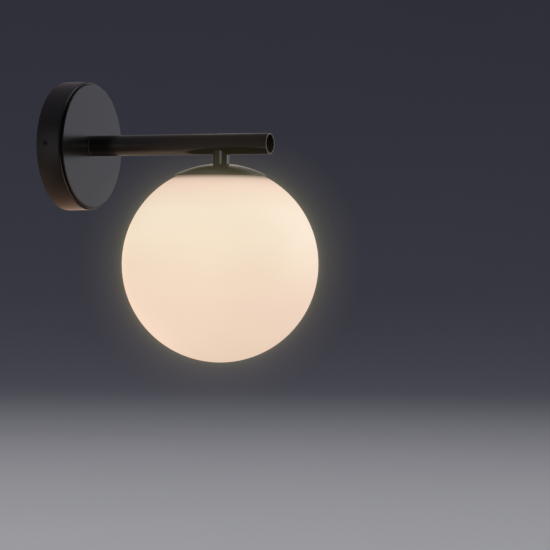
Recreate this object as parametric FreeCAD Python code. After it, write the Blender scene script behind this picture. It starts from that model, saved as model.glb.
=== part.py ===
import FreeCAD, Part
import math
import os

V = FreeCAD.Vector
os.makedirs("parts", exist_ok=True)

# ---------------------------------------------------------------------------
# Globe wall sconce, in millimetres.
# Frame: the wall is the plane Y = 0 and the light stands out of it along -Y.
# +Z is up, +X is to the right for someone facing the wall.
# The origin is the centre of the bracket's two slots, on the wall plane.
# ---------------------------------------------------------------------------

# canopy
CUP_R_WALL = 50.3        # outer radius at the wall
CUP_R_FRONT = 50.0       # outer radius at the front
CUP_DEPTH = 19.8         # wall to the cup's front
CUP_T = 1.0              # sheet thickness
CUP_EDGE_R = 1.2         # rounding of the front edge
GAP = 1.1                # shadow gap behind the face plate
GAP_DISC_R = 46.0        # radius of the spacer disc that makes the gap
FACE_R = 48.5            # face plate radius
FACE_T = 1.1             # face plate thickness
FACE_EDGE_R = 0.9        # rounding of its front edge
FACE_Y = -(CUP_DEPTH + GAP + FACE_T)     # front of the face plate

# arm
ARM_R = 8.0
ARM_T = 1.0
ARM_LEN = 152.0
ARM_END_Y = FACE_Y - ARM_LEN
STEM_Y = -133.0          # stem axis, measured from the wall
WIRE_HOLE_R = 4.2

# threaded hollow nipples, M10 x 1
NIP_R = 4.98
NIP_BORE_R = 3.5
NUT_AF = 14.0
NUT_T = 3.0

# stem and cap
STEM_R = 6.5
CAP_TOP_Z = -15.3
CAP_R = 35.0
CAP_T = 1.0
CAP_RIM_Z = -24.4

# globe
GLOBE_R = 75.0
GLOBE_Z = -91.5          # height of the globe's centre
GLASS_T = 2.5
NECK_R = 24.2
NECK_BORE_R = 21.2
NECK_TOP_Z = -21.6
SHOULDER_Z = -28.6
THREAD_PITCH = 3.0
THREAD_BEAD_R = 0.7

# wall bracket
BR_T = 1.5
SLOT_SPACING = 60.0
SLOT_W = 5.0
SLOT_LEN = 12.0
EAR_X = 48.0
EAR_HOLE_Y = -8.0

# terminal block
TB_PITCH = 8.0
TB_Z0, TB_Z1 = 25.0, 41.0
TB_Y = -7.5              # depth of the pole axes
EARTH_Z = -14.2          # height of the bracket's earth screw

# lampholder
LH_TOP_Z = -32.2
LH_BOT_Z = -52.0
PIN_X = 4.5              # half the 9 mm pin spacing
LH_SCREW_X = 10.2

LEAD_R = 1.0
CORE_R = 0.6


# ---------------------------------------------------------------------------
# helpers
# ---------------------------------------------------------------------------
def box(x0, x1, y0, y1, z0, z1):
    return Part.makeBox(x1 - x0, y1 - y0, z1 - z0, V(x0, y0, z0))


def cyl_x(r, x0, x1, y=0.0, z=0.0):
    return Part.makeCylinder(r, x1 - x0, V(x0, y, z), V(1, 0, 0))


def cyl_y(r, y0, y1, x=0.0, z=0.0):
    return Part.makeCylinder(r, y1 - y0, V(x, y0, z), V(0, 1, 0))


def cyl_z(r, z0, z1, x=0.0, y=0.0):
    return Part.makeCylinder(r, z1 - z0, V(x, y, z0), V(0, 0, 1))


def obround_z(half, r, z0, z1, x=0.0, y=0.0):
    # a slot shape along X, full length 2 * half, half width r
    s = box(x - half + r, x + half - r, y - r, y + r, z0, z1)
    s = s.fuse(cyl_z(r, z0, z1, x - half + r, y))
    return s.fuse(cyl_z(r, z0, z1, x + half - r, y)).removeSplitter()


def rounded(points, radii):
    # closed polygon in a plane, each corner rounded by its own radius
    n = len(points)
    edges = []
    ends = []
    for i in range(n):
        p0, p, p1 = points[i - 1], points[i], points[(i + 1) % n]
        r = radii[i]
        a = (p0 - p).normalize()
        b = (p1 - p).normalize()
        if r <= 0:
            ends.append((p, None, p))
            continue
        ang = a.getAngle(b)
        d = r / math.tan(ang / 2)
        m = (a + b).normalize()
        c = p + m * (r / math.sin(ang / 2))
        ends.append((p + a * d, c - m * r, p + b * d))
    for i in range(n):
        s, m, e = ends[i]
        if m is not None:
            edges.append(Part.Arc(s, m, e).toShape())
        nxt = ends[(i + 1) % n][0]
        if (nxt - e).Length > 1e-6:
            edges.append(Part.LineSegment(e, nxt).toShape())
    return Part.Wire(edges)


def revolve(wire, base, axis):
    face = Part.Face(wire)
    s = face.revolve(base, axis, 360)
    return fix(s)


def fix(s):
    if s.ShapeType != "Solid" and len(s.Solids) == 1:
        s = s.Solids[0]
    if s.Volume < 0:
        s.reverse()
    return s


def rev_y(pts, radii, x=0.0, z=0.0):
    # profile given as (radius, y)
    w = rounded([V(x + r, y, z) for r, y in pts], radii)
    return revolve(w, V(x, 0, z), V(0, 1, 0))


def rev_z(pts, radii, x=0.0, y=STEM_Y):
    # profile given as (radius, z)
    w = rounded([V(x + r, y, z) for r, z in pts], radii)
    return revolve(w, V(x, y, 0), V(0, 0, 1))


def hexagon(af, h0, h1, axis, cx=0.0, cy=0.0, cz=0.0):
    r = af / math.sqrt(3)
    pts = []
    for k in range(7):
        a = math.radians(60 * k + 30)
        u, w = r * math.cos(a), r * math.sin(a)
        if axis == "y":
            pts.append(V(cx + u, h0, cz + w))
        elif axis == "z":
            pts.append(V(cx + u, cy + w, h0))
        else:
            pts.append(V(h0, cy + u, cz + w))
    d = {"y": V(0, h1 - h0, 0), "z": V(0, 0, h1 - h0), "x": V(h1 - h0, 0, 0)}[axis]
    return fix(Part.Face(Part.makePolygon(pts)).extrude(d))


def lead_path(points, limits):
    # straight runs joined by tangent arcs, each as large as its runs allow
    edges = []
    last = points[0]
    for i in range(1, len(points) - 1):
        p0, p, p1 = points[i - 1], points[i], points[i + 1]
        a = (p0 - p)
        b = (p1 - p)
        run = min(a.Length, b.Length)
        a = a.normalize()
        b = b.normalize()
        turn = math.pi - a.getAngle(b)
        r = min(0.45 * run / math.tan(turn / 2), limits.get(i, 1e9))
        d = r * math.tan(turn / 2)
        s, e = p + a * d, p + b * d
        m = (a + b).normalize()
        c = p + m * (r / math.cos(turn / 2))
        mid = c - m * r
        if (s - last).Length > 1e-6:
            edges.append(Part.LineSegment(last, s).toShape())
        edges.append(Part.Arc(s, mid, e).toShape())
        print("   lead turn %.0f deg, radius %.2f" % (math.degrees(turn), r))
        last = e
    edges.append(Part.LineSegment(last, points[-1]).toShape())
    return Part.Wire(edges)


def sweep(wire, r):
    e = wire.OrderedEdges[0]
    start = e.valueAt(e.FirstParameter)
    t = e.tangentAt(e.FirstParameter)
    prof = Part.Wire([Part.makeCircle(r, start, t)])
    ps = Part.BRepOffsetAPI.MakePipeShell(wire)
    ps.setFrenetMode(False)
    ps.add(prof)
    ps.build()
    ps.makeSolid()
    s = fix(ps.shape())
    want = math.pi * r * r * wire.Length
    print("   lead length %.1f volume %.1f of %.1f" % (wire.Length, s.Volume, want))
    return s


NODES = {}


def add(name, shape):
    solids = shape.Solids
    ok = all(s.isValid() for s in solids)
    b = shape.BoundBox
    print("%-24s solids %d valid %s vol %9.1f  x %.1f..%.1f y %.1f..%.1f z %.1f..%.1f" % (
        name, len(solids), ok, shape.Volume, b.XMin, b.XMax, b.YMin, b.YMax, b.ZMin, b.ZMax))
    if len(solids) == 1:
        shape = solids[0]
    else:
        shape = Part.makeCompound(solids)
    shape.exportStep("parts/%s.step" % name)
    NODES[name] = shape


# ---------------------------------------------------------------------------
# wall bracket: strip with two bent, tapped ears and a lug for the terminals
# ---------------------------------------------------------------------------
strip = box(-EAR_X + 0.6, EAR_X - 0.6, -BR_T, 0, -9, 9)
lug = box(-13, 13, -BR_T, 0, -20, 42.5)
plate = strip.fuse(lug).removeSplitter()
vert = [e for e in plate.Edges if abs(e.tangentAt(e.FirstParameter).y) > 0.99 and e.Length < 2]
corners = [e for e in vert if abs(abs(e.Vertexes[0].Point.x) - 13) < 0.01]
plate = plate.makeFillet(2.0, corners)
bracket = plate
for s in (-1, 1):
    xo, xi = EAR_X, EAR_X - BR_T
    ear = box(min(s * xi, s * xo), max(s * xi, s * xo), -14.5, 0, -7, 7)
    ear_edges = [e for e in ear.Edges if abs(e.tangentAt(e.FirstParameter).x) > 0.99
                 and abs(e.Vertexes[0].Point.y + 14.5) < 0.01]
    ear = ear.makeFillet(3.0, ear_edges)
    bracket = bracket.fuse(ear)
    collar = cyl_x(3.3, min(s * xi, s * (xi - 1.6)), max(s * xi, s * (xi - 1.6)), EAR_HOLE_Y, 0)
    bracket = bracket.fuse(collar)
bracket = bracket.removeSplitter()
bend = [e for e in bracket.Edges if abs(e.tangentAt(e.FirstParameter).z) > 0.99
        and abs(abs(e.Vertexes[0].Point.x) - EAR_X) < 0.01 and abs(e.Vertexes[0].Point.y) < 0.01
        and e.Length > 10]
bracket = bracket.makeFillet(1.4, bend)
for s in (-1, 1):
    xi = EAR_X - BR_T
    bracket = bracket.cut(cyl_x(2.0, min(s * (xi - 3), s * (EAR_X + 1)), max(s * (xi - 3), s * (EAR_X + 1)),
                                EAR_HOLE_Y, 0))
    cx = s * SLOT_SPACING / 2
    hw = SLOT_W / 2
    slot = box(cx - SLOT_LEN / 2 + hw, cx + SLOT_LEN / 2 - hw, -3, 1, -hw, hw)
    slot = slot.fuse(cyl_y(hw, -3, 1, cx - SLOT_LEN / 2 + hw, 0))
    slot = slot.fuse(cyl_y(hw, -3, 1, cx + SLOT_LEN / 2 - hw, 0)).removeSplitter()
    bracket = bracket.cut(slot)
bracket = bracket.cut(cyl_y(6.5, -3, 1))
bracket = bracket.cut(cyl_y(2.0, -3, 1, 0, EARTH_Z))
bracket = bracket.cut(cyl_y(1.25, -3, 1, -TB_PITCH / 2, 33))
add("wall_bracket", bracket)

# push-in bush for the supply cable, flush with the wall plane
add("cable_grommet", rev_y([(4.0, 0), (6.46, 0), (6.46, -BR_T), (8.4, -BR_T), (8.4, -2.9), (4.0, -2.9)],
                           [0.4, 0.3, 0, 0.5, 0.6, 0.6]))

# two set screws through the cup into the ears
screws = []
for s in (-1, 1):
    a, b = (42.2, 50.05) if s > 0 else (-50.05, -42.2)
    sc = cyl_x(1.97, a, b, EAR_HOLE_Y, 0)
    sc = sc.makeChamfer(0.35, [e for e in sc.Edges if e.Curve.TypeId == "Part::GeomCircle"])
    if s > 0:
        sc = sc.cut(hexagon(2.0, b - 2.2, b + 1, "x", 0, EAR_HOLE_Y, 0))
    else:
        sc = sc.cut(hexagon(2.0, a - 1, a + 2.2, "x", 0, EAR_HOLE_Y, 0))
    screws.append(fix(sc))
add("canopy_lock_screws", Part.makeCompound(screws))

# ---------------------------------------------------------------------------
# canopy cup, spacer disc and face plate
# ---------------------------------------------------------------------------
cup = rev_y([(CUP_R_WALL, 0), (CUP_R_FRONT, -CUP_DEPTH), (5.1, -CUP_DEPTH), (5.1, -CUP_DEPTH + CUP_T),
             (CUP_R_FRONT - CUP_T, -CUP_DEPTH + CUP_T), (CUP_R_WALL - CUP_T, 0)],
            [0.25, CUP_EDGE_R, 0, 0, 0.5, 0.25])
for s in (-1, 1):
    cup = cup.cut(cyl_x(2.25, min(s * 47, s * 52), max(s * 47, s * 52), EAR_HOLE_Y, 0))
add("canopy_cup", fix(cup))
add("spacer_disc", rev_y([(5.1, -CUP_DEPTH), (GAP_DISC_R, -CUP_DEPTH), (GAP_DISC_R, -CUP_DEPTH - GAP),
                          (5.1, -CUP_DEPTH - GAP)], [0, 0, 0, 0]))
add("face_plate", rev_y([(5.1, FACE_Y + FACE_T), (FACE_R, FACE_Y + FACE_T), (FACE_R, FACE_Y), (5.1, FACE_Y)],
                        [0, 0.15, FACE_EDGE_R, 0]))

# ---------------------------------------------------------------------------
# arm: open tube, threaded insert at the wall end, recessed plug at the free end
# ---------------------------------------------------------------------------
arm = rev_y([(ARM_R, FACE_Y), (ARM_R, ARM_END_Y), (ARM_R - ARM_T, ARM_END_Y), (ARM_R - ARM_T, FACE_Y)],
            [0, 0.3, 0.3, 0])
arm = arm.cut(cyl_z(WIRE_HOLE_R, -12, 0, 0, STEM_Y))
add("arm_tube", fix(arm))
add("arm_insert", rev_y([(5.0, FACE_Y), (6.97, FACE_Y), (6.97, FACE_Y - 12), (5.0, FACE_Y - 12)],
                        [0, 0, 0.5, 0.5]))
add("arm_nipple", rev_y([(NIP_BORE_R, -13.4), (NIP_R, -13.4), (NIP_R, -32), (NIP_BORE_R, -32)],
                        [0.3, 0.5, 0.5, 0.3]))
add("arm_end_plug", rev_y([(0, -152.5), (4.6, -152.5), (4.6, -154.5), (6.95, -154.5), (6.95, -147), (5.6, -147),
                           (5.6, -150.5), (0, -150.5)], [0, 0.4, 0.4, 0.3, 0.3, 0.3, 0.3, 0]))
add("arm_sleeving", rev_y([(2.75, -27), (3.45, -27), (3.45, -123), (2.75, -123)], [0, 0, 0, 0]))
add("nipple_bush", rev_y([(2.6, -12.2), (4.9, -12.2), (4.9, -13.4), (3.46, -13.4), (3.46, -20), (2.6, -20)],
                         [0.4, 0.3, 0.3, 0, 0.2, 0.2]))

# earth tag under the arm's nut: ring, tail and crimp barrel
WASHER_T = 0.8
TAG_T = 0.6
yw = -CUP_DEPTH + CUP_T          # inner face of the cup's front
tag = cyl_y(8.2, yw + WASHER_T, yw + WASHER_T + TAG_T)
tag = tag.fuse(box(4, 17.5, yw + WASHER_T, yw + WASHER_T + TAG_T, -1.9, 1.9)).removeSplitter()
BARREL_Y = yw + WASHER_T + 1.8
tag = tag.fuse(cyl_x(1.8, 12.5, 18.5, BARREL_Y, 0)).removeSplitter()
tag = tag.cut(cyl_y(5.1, yw, yw + 3))
tag = tag.cut(cyl_x(LEAD_R + 0.02, 14.5, 19, BARREL_Y, 0))
add("arm_earth_tag", fix(tag))


def toothed(axis, h0, h1, cy=0.0):
    if axis == "y":
        w = cyl_y(9.2, h0, h1).cut(cyl_y(5.15, h0 - 1, h1 + 1))
    else:
        w = cyl_z(9.2, h0, h1, 0, cy).cut(cyl_z(5.15, h0 - 1, h1 + 1, 0, cy))
    for k in range(12):
        a = math.radians(30 * k)
        u, v = 9.4 * math.cos(a), 9.4 * math.sin(a)
        if axis == "y":
            w = w.cut(cyl_y(1.15, h0 - 1, h1 + 1, u, v))
        else:
            w = w.cut(cyl_z(1.15, h0 - 1, h1 + 1, u, cy + v))
    return fix(w)


def nut(axis, h0, h1, cy=0.0):
    n = hexagon(NUT_AF, h0, h1, axis, 0, cy, 0)
    if axis == "y":
        body = rev_y([(0, h0), (7.4, h0), (8.2, h0 + 0.45), (8.2, h1 - 0.45), (7.4, h1), (0, h1)], [0] * 6)
        bore = cyl_y(5.0, h0 - 1, h1 + 1)
    else:
        body = rev_z([(0, h0), (7.4, h0), (8.2, h0 + 0.45), (8.2, h1 - 0.45), (7.4, h1), (0, h1)], [0] * 6)
        bore = cyl_z(5.0, h0 - 1, h1 + 1, 0, cy)
    return fix(n.common(body).cut(bore))


# stack under the cap, from the top down: cap, spacer washer, globe holder, lampholder bracket, washer, nut
SPACER_T = 1.2
HOLD_TOP = CAP_TOP_Z - CAP_T - SPACER_T
LHB_TOP = HOLD_TOP - 1.0
LHB_T = 1.2
W2_TOP = LHB_TOP - LHB_T
add("toothed_washers", Part.makeCompound([toothed("y", yw, yw + WASHER_T),
                                          toothed("z", W2_TOP - WASHER_T, W2_TOP, STEM_Y)]))
add("lock_nuts", Part.makeCompound([nut("y", yw + WASHER_T + TAG_T, yw + WASHER_T + TAG_T + NUT_T),
                                    nut("z", W2_TOP - WASHER_T - NUT_T, W2_TOP - WASHER_T, STEM_Y)]))

# ---------------------------------------------------------------------------
# terminal block on the bracket's lug
# ---------------------------------------------------------------------------
tb = box(-12.5, 12.5, -15.2, -BR_T, TB_Z0, TB_Z1)
tb = tb.makeFillet(1.0, [e for e in tb.Edges if e.Length > 10 and abs(e.Vertexes[0].Point.y + 15.2) < 0.01
                         and abs(e.Vertexes[-1].Point.y + 15.2) < 0.01])
for x in (-TB_PITCH / 2, TB_PITCH / 2):
    tb = tb.cut(box(x - 0.7, x + 0.7, -16, -12.2, TB_Z0 - 1, TB_Z0 + 3.6))
    tb = tb.cut(box(x - 0.7, x + 0.7, -16, -12.2, TB_Z1 - 3.6, TB_Z1 + 1))
    tb = tb.cut(cyl_y(1.32, -17, 0, x, 33))
for x in (-TB_PITCH, 0, TB_PITCH):
    tb = tb.cut(cyl_z(2.2, TB_Z0 - 1, TB_Z1 + 1, x, TB_Y))
    for z in (29.0, 37.0):
        tb = tb.cut(cyl_y(2.0, -16, TB_Y, x, z))
add("terminal_block", fix(tb))
sleeves, tscrews = [], []
for x in (-TB_PITCH, 0, TB_PITCH):
    sl = cyl_z(2.15, TB_Z0 + 1, TB_Z1 - 1, x, TB_Y).cut(cyl_z(1.5, TB_Z0, TB_Z1, x, TB_Y))
    for z in (29.0, 37.0):
        sl = sl.cut(cyl_y(1.25, -12, TB_Y, x, z))
        sc = cyl_y(1.8, -14.4, -12.4, x, z).fuse(cyl_y(1.2, -12.6, TB_Y - CORE_R - 0.05, x, z)).removeSplitter()
        sc = sc.cut(box(x - 2, x + 2, -15, -13.6, z - 0.3, z + 0.3))
        tscrews.append(fix(sc))
    sleeves.append(fix(sl))
add("terminal_clamps", Part.makeCompound(sleeves))
add("terminal_screws", Part.makeCompound(tscrews))
fs = cyl_y(2.3, -17.0, -15.2, -TB_PITCH / 2, 33).fuse(cyl_y(1.22, -15.4, -0.2, -TB_PITCH / 2, 33)).removeSplitter()
fs = fs.cut(box(-TB_PITCH / 2 - 3, -TB_PITCH / 2 + 3, -18, -16.2, 32.7, 33.3))
add("terminal_fixing_screw", fix(fs))

# earth screw and its cup washer on the bracket
add("earth_washer", rev_y([(2.1, -BR_T), (4.9, -BR_T), (4.9, -3.4), (4.1, -3.4), (4.1, -2.4), (2.1, -2.4)],
                          [0, 0, 0.2, 0.2, 0.2, 0], 0, EARTH_Z))
es = cyl_y(3.6, -4.8, -2.4, 0, EARTH_Z).fuse(cyl_y(1.98, -2.6, -0.2, 0, EARTH_Z)).removeSplitter()
es = es.cut(box(-4, 4, -6, -3.9, EARTH_Z - 0.4, EARTH_Z + 0.4)).cut(box(-0.4, 0.4, -6, -3.9, EARTH_Z - 4, EARTH_Z + 4))
add("earth_screw", fix(es))

# ---------------------------------------------------------------------------
# stem, lower nipple, cap and globe holder
# ---------------------------------------------------------------------------
stem = cyl_z(STEM_R, CAP_TOP_Z, -2, 0, STEM_Y)
stem = stem.cut(cyl_y(ARM_R, STEM_Y - 20, STEM_Y + 20))
stem = stem.cut(cyl_z(5.0, CAP_TOP_Z - 1, -9.4, 0, STEM_Y)).cut(cyl_z(WIRE_HOLE_R, -10, 0, 0, STEM_Y))
stem_low = [e for e in stem.Edges if abs(e.BoundBox.ZMax - CAP_TOP_Z) < 0.01 and e.BoundBox.XLength > 12]
stem = stem.makeFillet(0.35, stem_low)
add("stem", fix(max(stem.Solids, key=lambda q: q.Volume)))
add("cap_nipple", rev_z([(NIP_BORE_R, -9.7), (NIP_R, -9.7), (NIP_R, -24.4), (NIP_BORE_R, -24.4)],
                        [0.3, 0.5, 0.5, 0.3]))


def sph(r, R):
    return GLOBE_Z + math.sqrt(R * R - r * r)


def arc_on_sphere(r0, r1, R):
    # arc of the section circle between two radii, about the globe's centre
    rm = 0.5 * (r0 + r1)
    return Part.Arc(V(r0, STEM_Y, sph(r0, R)), V(rm, STEM_Y, sph(rm, R)), V(r1, STEM_Y, sph(r1, R))).toShape()


def seg(a, b):
    return Part.LineSegment(V(a[0], STEM_Y, a[1]), V(b[0], STEM_Y, b[1])).toShape()


def fillet_corner(R, rc, fr):
    # fillet of radius fr between the sphere section R (inside) and the vertical line r = rc
    cr = rc - fr
    cz = GLOBE_Z + math.sqrt((R - fr) ** 2 - cr ** 2)
    d = math.hypot(cr, cz - GLOBE_Z)
    t1 = (cr * R / d, GLOBE_Z + (cz - GLOBE_Z) * R / d)
    t2 = (rc, cz)
    a = 0.5 * math.atan2(cz - GLOBE_Z, cr)
    mid = (cr + fr * math.cos(a), cz + fr * math.sin(a))
    e = Part.Arc(V(t1[0], STEM_Y, t1[1]), V(mid[0], STEM_Y, mid[1]), V(t2[0], STEM_Y, t2[1])).toShape()
    return t1, t2, e


CAP_SPH = 76.65
flat_r = math.sqrt(CAP_SPH ** 2 - (CAP_TOP_Z - GLOBE_Z) ** 2)
flat_ri = math.sqrt((CAP_SPH - CAP_T) ** 2 - (CAP_TOP_Z - CAP_T - GLOBE_Z) ** 2)
o1, o2, oe = fillet_corner(CAP_SPH, CAP_R, 1.0)
lip_r = 0.45
lip = Part.Arc(V(CAP_R, STEM_Y, CAP_RIM_Z + lip_r),
               V(CAP_R - lip_r * (1 - math.sqrt(0.5)), STEM_Y, CAP_RIM_Z + lip_r * (1 - math.sqrt(0.5))),
               V(CAP_R - lip_r, STEM_Y, CAP_RIM_Z)).toShape()
in_r = CAP_R - CAP_T - 0.1
print("   cap edge: fillet ends at z %.3f, lip starts at z %.3f" % (o2[1], CAP_RIM_Z + lip_r))
cap_edges = [seg((5.1, CAP_TOP_Z), (flat_r, CAP_TOP_Z)), arc_on_sphere(flat_r, o1[0], CAP_SPH), oe,
             seg(o2, (CAP_R, CAP_RIM_Z + lip_r)), lip,
             seg((CAP_R - lip_r, CAP_RIM_Z), (CAP_R - lip_r - 0.15, CAP_RIM_Z)),
             seg((CAP_R - lip_r - 0.15, CAP_RIM_Z), (in_r, sph(in_r, CAP_SPH - CAP_T))),
             arc_on_sphere(in_r, flat_ri, CAP_SPH - CAP_T),
             seg((flat_ri, CAP_TOP_Z - CAP_T), (5.1, CAP_TOP_Z - CAP_T)),
             seg((5.1, CAP_TOP_Z - CAP_T), (5.1, CAP_TOP_Z))]
add("shade_cap", revolve(Part.Wire(cap_edges), V(0, STEM_Y, 0), V(0, 0, 1)))

# globe holder: domed disc with a skirt, one helical ridge inside the skirt
HS_OUT, HS_IN, HS_BOT = 26.6, 25.6, -27.3
HR_O, HR_I = 75.45, 74.45
hold_edges = [seg((5.1, HOLD_TOP), (15.0, HOLD_TOP)), seg((15.0, HOLD_TOP), (16.6, sph(16.6, HR_O))),
              arc_on_sphere(16.6, HS_OUT, HR_O), seg((HS_OUT, sph(HS_OUT, HR_O)), (HS_OUT, HS_BOT)),
              seg((HS_OUT, HS_BOT), (HS_IN, HS_BOT)), seg((HS_IN, HS_BOT), (HS_IN, sph(HS_IN, HR_I))),
              arc_on_sphere(HS_IN, 17.2, HR_I), seg((17.2, sph(17.2, HR_I)), (15.4, HOLD_TOP - 1.0)),
              seg((15.4, HOLD_TOP - 1.0), (5.1, HOLD_TOP - 1.0)), seg((5.1, HOLD_TOP - 1.0), (5.1, HOLD_TOP))]
holder = revolve(Part.Wire(hold_edges), V(0, STEM_Y, 0), V(0, 0, 1))


def ridge(radius, z0, turns, start_deg, r):
    # helical bead with rounded ends about the stem axis, right-handed
    h = Part.makeHelix(THREAD_PITCH, THREAD_PITCH * turns, radius)
    w = Part.Wire(h.Edges)
    e = w.OrderedEdges[0]
    t = e.tangentAt(e.FirstParameter)
    prof = Part.Wire([Part.makeCircle(r, e.valueAt(e.FirstParameter), t)])
    ps = Part.BRepOffsetAPI.MakePipeShell(w)
    ps.setAuxiliarySpine(Part.Wire([Part.makeLine(V(0, 0, -50), V(0, 0, 50))]), False, 0)
    ps.add(prof)
    ps.build()
    ps.makeSolid()
    s = fix(ps.shape())
    s.rotate(V(0, 0, 0), V(0, 0, 1), start_deg)
    s.translate(V(0, STEM_Y, z0))
    return s


hr = ridge(HS_IN, -26.55, 1.2, 200.0, THREAD_BEAD_R)
tube_band = cyl_z(HS_IN + 0.5, HS_BOT + 0.1, -21.8, 0, STEM_Y).cut(cyl_z(20, -40, -10, 0, STEM_Y))
hr = hr.common(tube_band)
print("   holder ridge volume %.1f valid %s" % (hr.Volume, hr.isValid()))
holder2 = holder.fuse(hr).removeSplitter()
add("globe_holder", fix(holder2))
add("cap_spacer", rev_z([(5.1, CAP_TOP_Z - CAP_T), (7.4, CAP_TOP_Z - CAP_T), (7.4, HOLD_TOP), (5.1, HOLD_TOP)], [0, 0, 0, 0]))

# ---------------------------------------------------------------------------
# globe, gasket
# ---------------------------------------------------------------------------
g = GLOBE_Z
gi_R = GLOBE_R - GLASS_T
NR = 0.7


def q(r, z):
    return V(r, STEM_Y, z)


# inside of the bowl, then the neck, the shoulder trough and the outside of the bowl
S_r = 33.3
S = (S_r, sph(S_r, GLOBE_R))
J_r = 34.6
J = (J_r, sph(J_r, gi_R))
edges = []
bot_in = Part.Arc(q(0, g - gi_R), q(gi_R, g), q(0, g + gi_R)).toShape()
# inner bowl as two arcs: bottom pole to equator, equator to J
edges.append(Part.Arc(q(0, g - gi_R), q(gi_R * math.sin(math.radians(45)), g - gi_R * math.cos(math.radians(45))),
                      q(gi_R, g)).toShape())
aJ = math.atan2(J[1] - g, J[0])
edges.append(Part.Arc(q(gi_R, g), q(gi_R * math.cos(aJ / 2), g + gi_R * math.sin(aJ / 2)), q(J[0], J[1])).toShape())
# underside of the trough and the neck's bore and top, outside of the neck, trough, crest
poly = [(J[0], J[1], 0), (29.4, SHOULDER_Z - 2.8, 3.0), (NECK_BORE_R, SHOULDER_Z - 2.8, 1.8),
        (NECK_BORE_R, NECK_TOP_Z, 0.9), (NECK_R, NECK_TOP_Z, 0.9), (NECK_R, SHOULDER_Z, 0.6),
        (30.0, SHOULDER_Z, 1.2), (31.6, S[1] - 0.35, 0.9), (S[0], S[1], 0)]
prev = q(poly[0][0], poly[0][1])
for i in range(1, len(poly) - 1):
    p0, p, p1 = (q(poly[j][0], poly[j][1]) for j in (i - 1, i, i + 1))
    a = (p0 - p).normalize()
    b = (p1 - p).normalize()
    ang = a.getAngle(b)
    r = poly[i][2]
    d = r / math.tan(ang / 2)
    m = (a + b).normalize()
    c = p + m * (r / math.sin(ang / 2))
    s_, e_ = p + a * d, p + b * d
    if (s_ - prev).Length > 1e-6:
        edges.append(Part.LineSegment(prev, s_).toShape())
    edges.append(Part.Arc(s_, c - m * r, e_).toShape())
    prev = e_
edges.append(Part.LineSegment(prev, q(S[0], S[1])).toShape())
aS = math.atan2(S[1] - g, S[0])
edges.append(Part.Arc(q(S[0], S[1]), q(GLOBE_R * math.cos(aS / 2), g + GLOBE_R * math.sin(aS / 2)),
                      q(GLOBE_R, g)).toShape())
edges.append(Part.Arc(q(GLOBE_R, g), q(GLOBE_R * math.sin(math.radians(45)), g - GLOBE_R * math.cos(math.radians(45))),
                      q(0, g - GLOBE_R)).toShape())
edges.append(Part.LineSegment(q(0, g - GLOBE_R), q(0, g - gi_R)).toShape())
globe = revolve(Part.Wire(edges), V(0, STEM_Y, 0), V(0, 0, 1))
gr = ridge(NECK_R, -26.55, 1.38, 20.0, THREAD_BEAD_R)
band = cyl_z(NECK_R + 2, SHOULDER_Z + 0.35, NECK_TOP_Z - 0.05, 0, STEM_Y).cut(cyl_z(NECK_R - 0.5, -40, -10, 0, STEM_Y))
gr = gr.common(band)
print("   glass bead volume %.1f valid %s" % (gr.Volume, gr.isValid()))
globe = globe.fuse(gr).removeSplitter()
add("glass_globe", fix(globe))
add("globe_gasket", rev_z([(24.9, -28.3), (28.0, -28.3), (28.0, -27.6), (24.9, -27.6)], [0.2, 0.2, 0.2, 0.2]))

# ---------------------------------------------------------------------------
# lampholder: U bracket with inturned feet, ceramic body, contacts, screws
# ---------------------------------------------------------------------------
LB_X = 13.4
y0, y1 = STEM_Y - 5.5, STEM_Y + 5.5
lb = box(-LB_X, LB_X, y0, y1, LHB_TOP - LHB_T, LHB_TOP)
for s in (-1, 1):
    lb = lb.fuse(box(min(s * (LB_X - LHB_T), s * LB_X), max(s * (LB_X - LHB_T), s * LB_X), y0, y1, LH_TOP_Z, LHB_TOP))
    lb = lb.fuse(box(min(s * 6.6, s * LB_X), max(s * 6.6, s * LB_X), y0, y1, LH_TOP_Z, LH_TOP_Z + LHB_T))
lb = lb.removeSplitter()
oc = [e for e in lb.Edges if abs(e.tangentAt(e.FirstParameter).y) > 0.99 and abs(abs(e.Vertexes[0].Point.x) - LB_X) < 0.01]
lb = lb.makeFillet(1.6, oc)
ic = [e for e in lb.Edges if abs(e.tangentAt(e.FirstParameter).y) > 0.99
      and abs(abs(e.Vertexes[0].Point.x) - (LB_X - LHB_T)) < 0.01]
lb = lb.makeFillet(0.4, ic)
lb = lb.cut(cyl_z(5.1, LHB_TOP - 3, LHB_TOP + 1, 0, STEM_Y))
for s in (-1, 1):
    lb = lb.cut(cyl_z(1.5, LH_TOP_Z - 1, LH_TOP_Z + 3, s * LH_SCREW_X, STEM_Y))
add("lampholder_bracket", fix(lb))

lh = obround_z(15.0, 7.5, LH_BOT_Z, LH_TOP_Z, 0, STEM_Y)
rim = [e for e in lh.Edges if abs(e.BoundBox.ZMax - LH_BOT_Z) < 0.01]
lh = lh.makeFillet(0.8, rim)
for s in (-1, 1):
    lh = lh.cut(cyl_z(1.6, LH_BOT_Z - 1, LH_TOP_Z + 1, s * LH_SCREW_X, STEM_Y))
    lh = lh.cut(cyl_z(3.1, LH_BOT_Z - 1, -40.0, s * LH_SCREW_X, STEM_Y))
    lh = lh.cut(box(s * PIN_X - 2.3, s * PIN_X + 2.3, STEM_Y - 1.5, STEM_Y + 1.5, LH_BOT_Z - 1, -38.2))
    lh = lh.cut(cyl_z(1.4, -39, LH_TOP_Z + 1, s * PIN_X, STEM_Y))
add("lampholder_body", fix(lh))

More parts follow.
